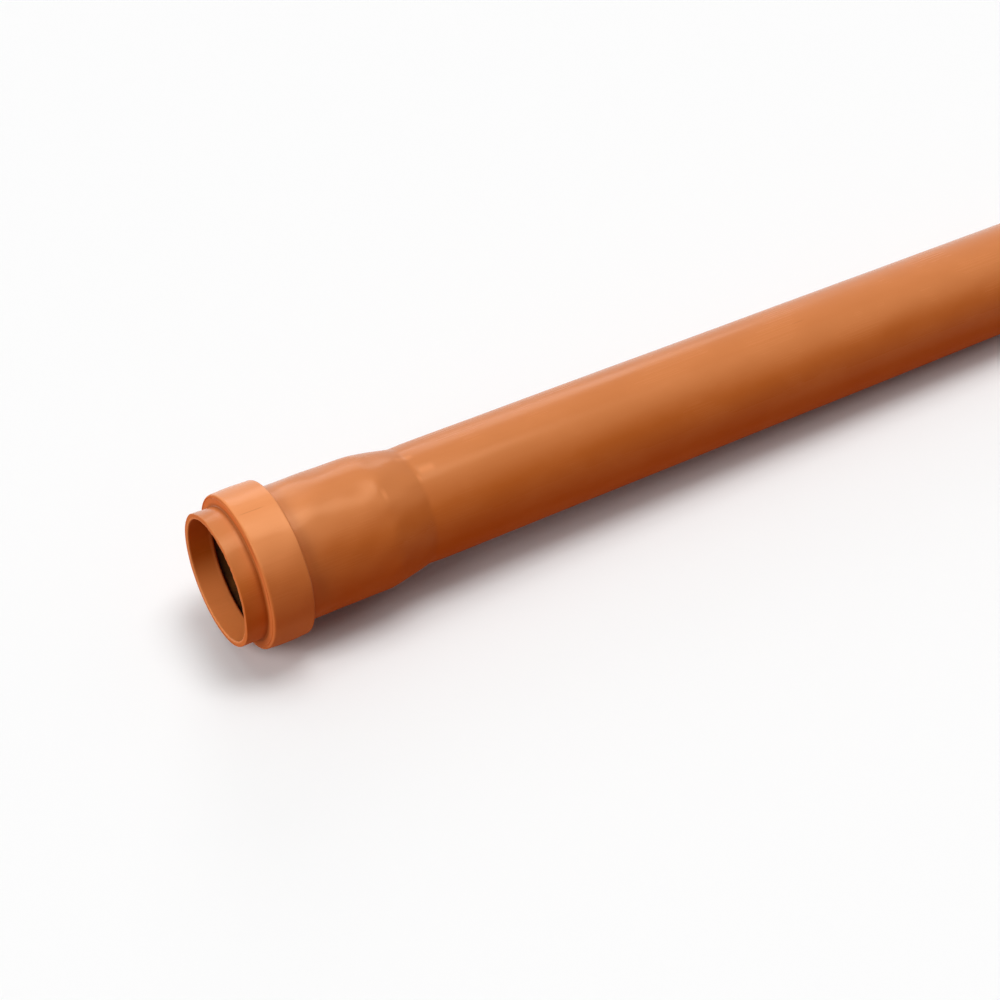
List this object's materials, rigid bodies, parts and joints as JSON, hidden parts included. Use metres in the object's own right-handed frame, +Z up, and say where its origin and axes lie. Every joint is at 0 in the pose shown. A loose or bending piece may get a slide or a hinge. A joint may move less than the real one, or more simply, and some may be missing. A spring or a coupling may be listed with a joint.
{
  "type": "pvc sewer pipe",
  "caption": "Straight orange-brown PVC sewer pipe with a formed socket, a grooved collar with a rubber lip seal, and a chamfered spigot end.",
  "frame": {"origin": "on the floor under the middle of the pipe, at the centre of the bounding box's bottom", "axes": "+Z up, +X along the pipe from the socket's mouth to the spigot end (dipping 0.85 degrees, because the pipe lies on its collar and its spigot end), +Y across"},
  "size_m": [1.1496, 0.1422, 0.1426],
  "materials": {
    "pvc": "satin orange-brown extruded plastic",
    "rubber": "matt black moulded rubber"
  },
  "bodies": {
    "root": {"pipe": "pvc", "seal_ring": "rubber"}
  },
  "joints": []
}
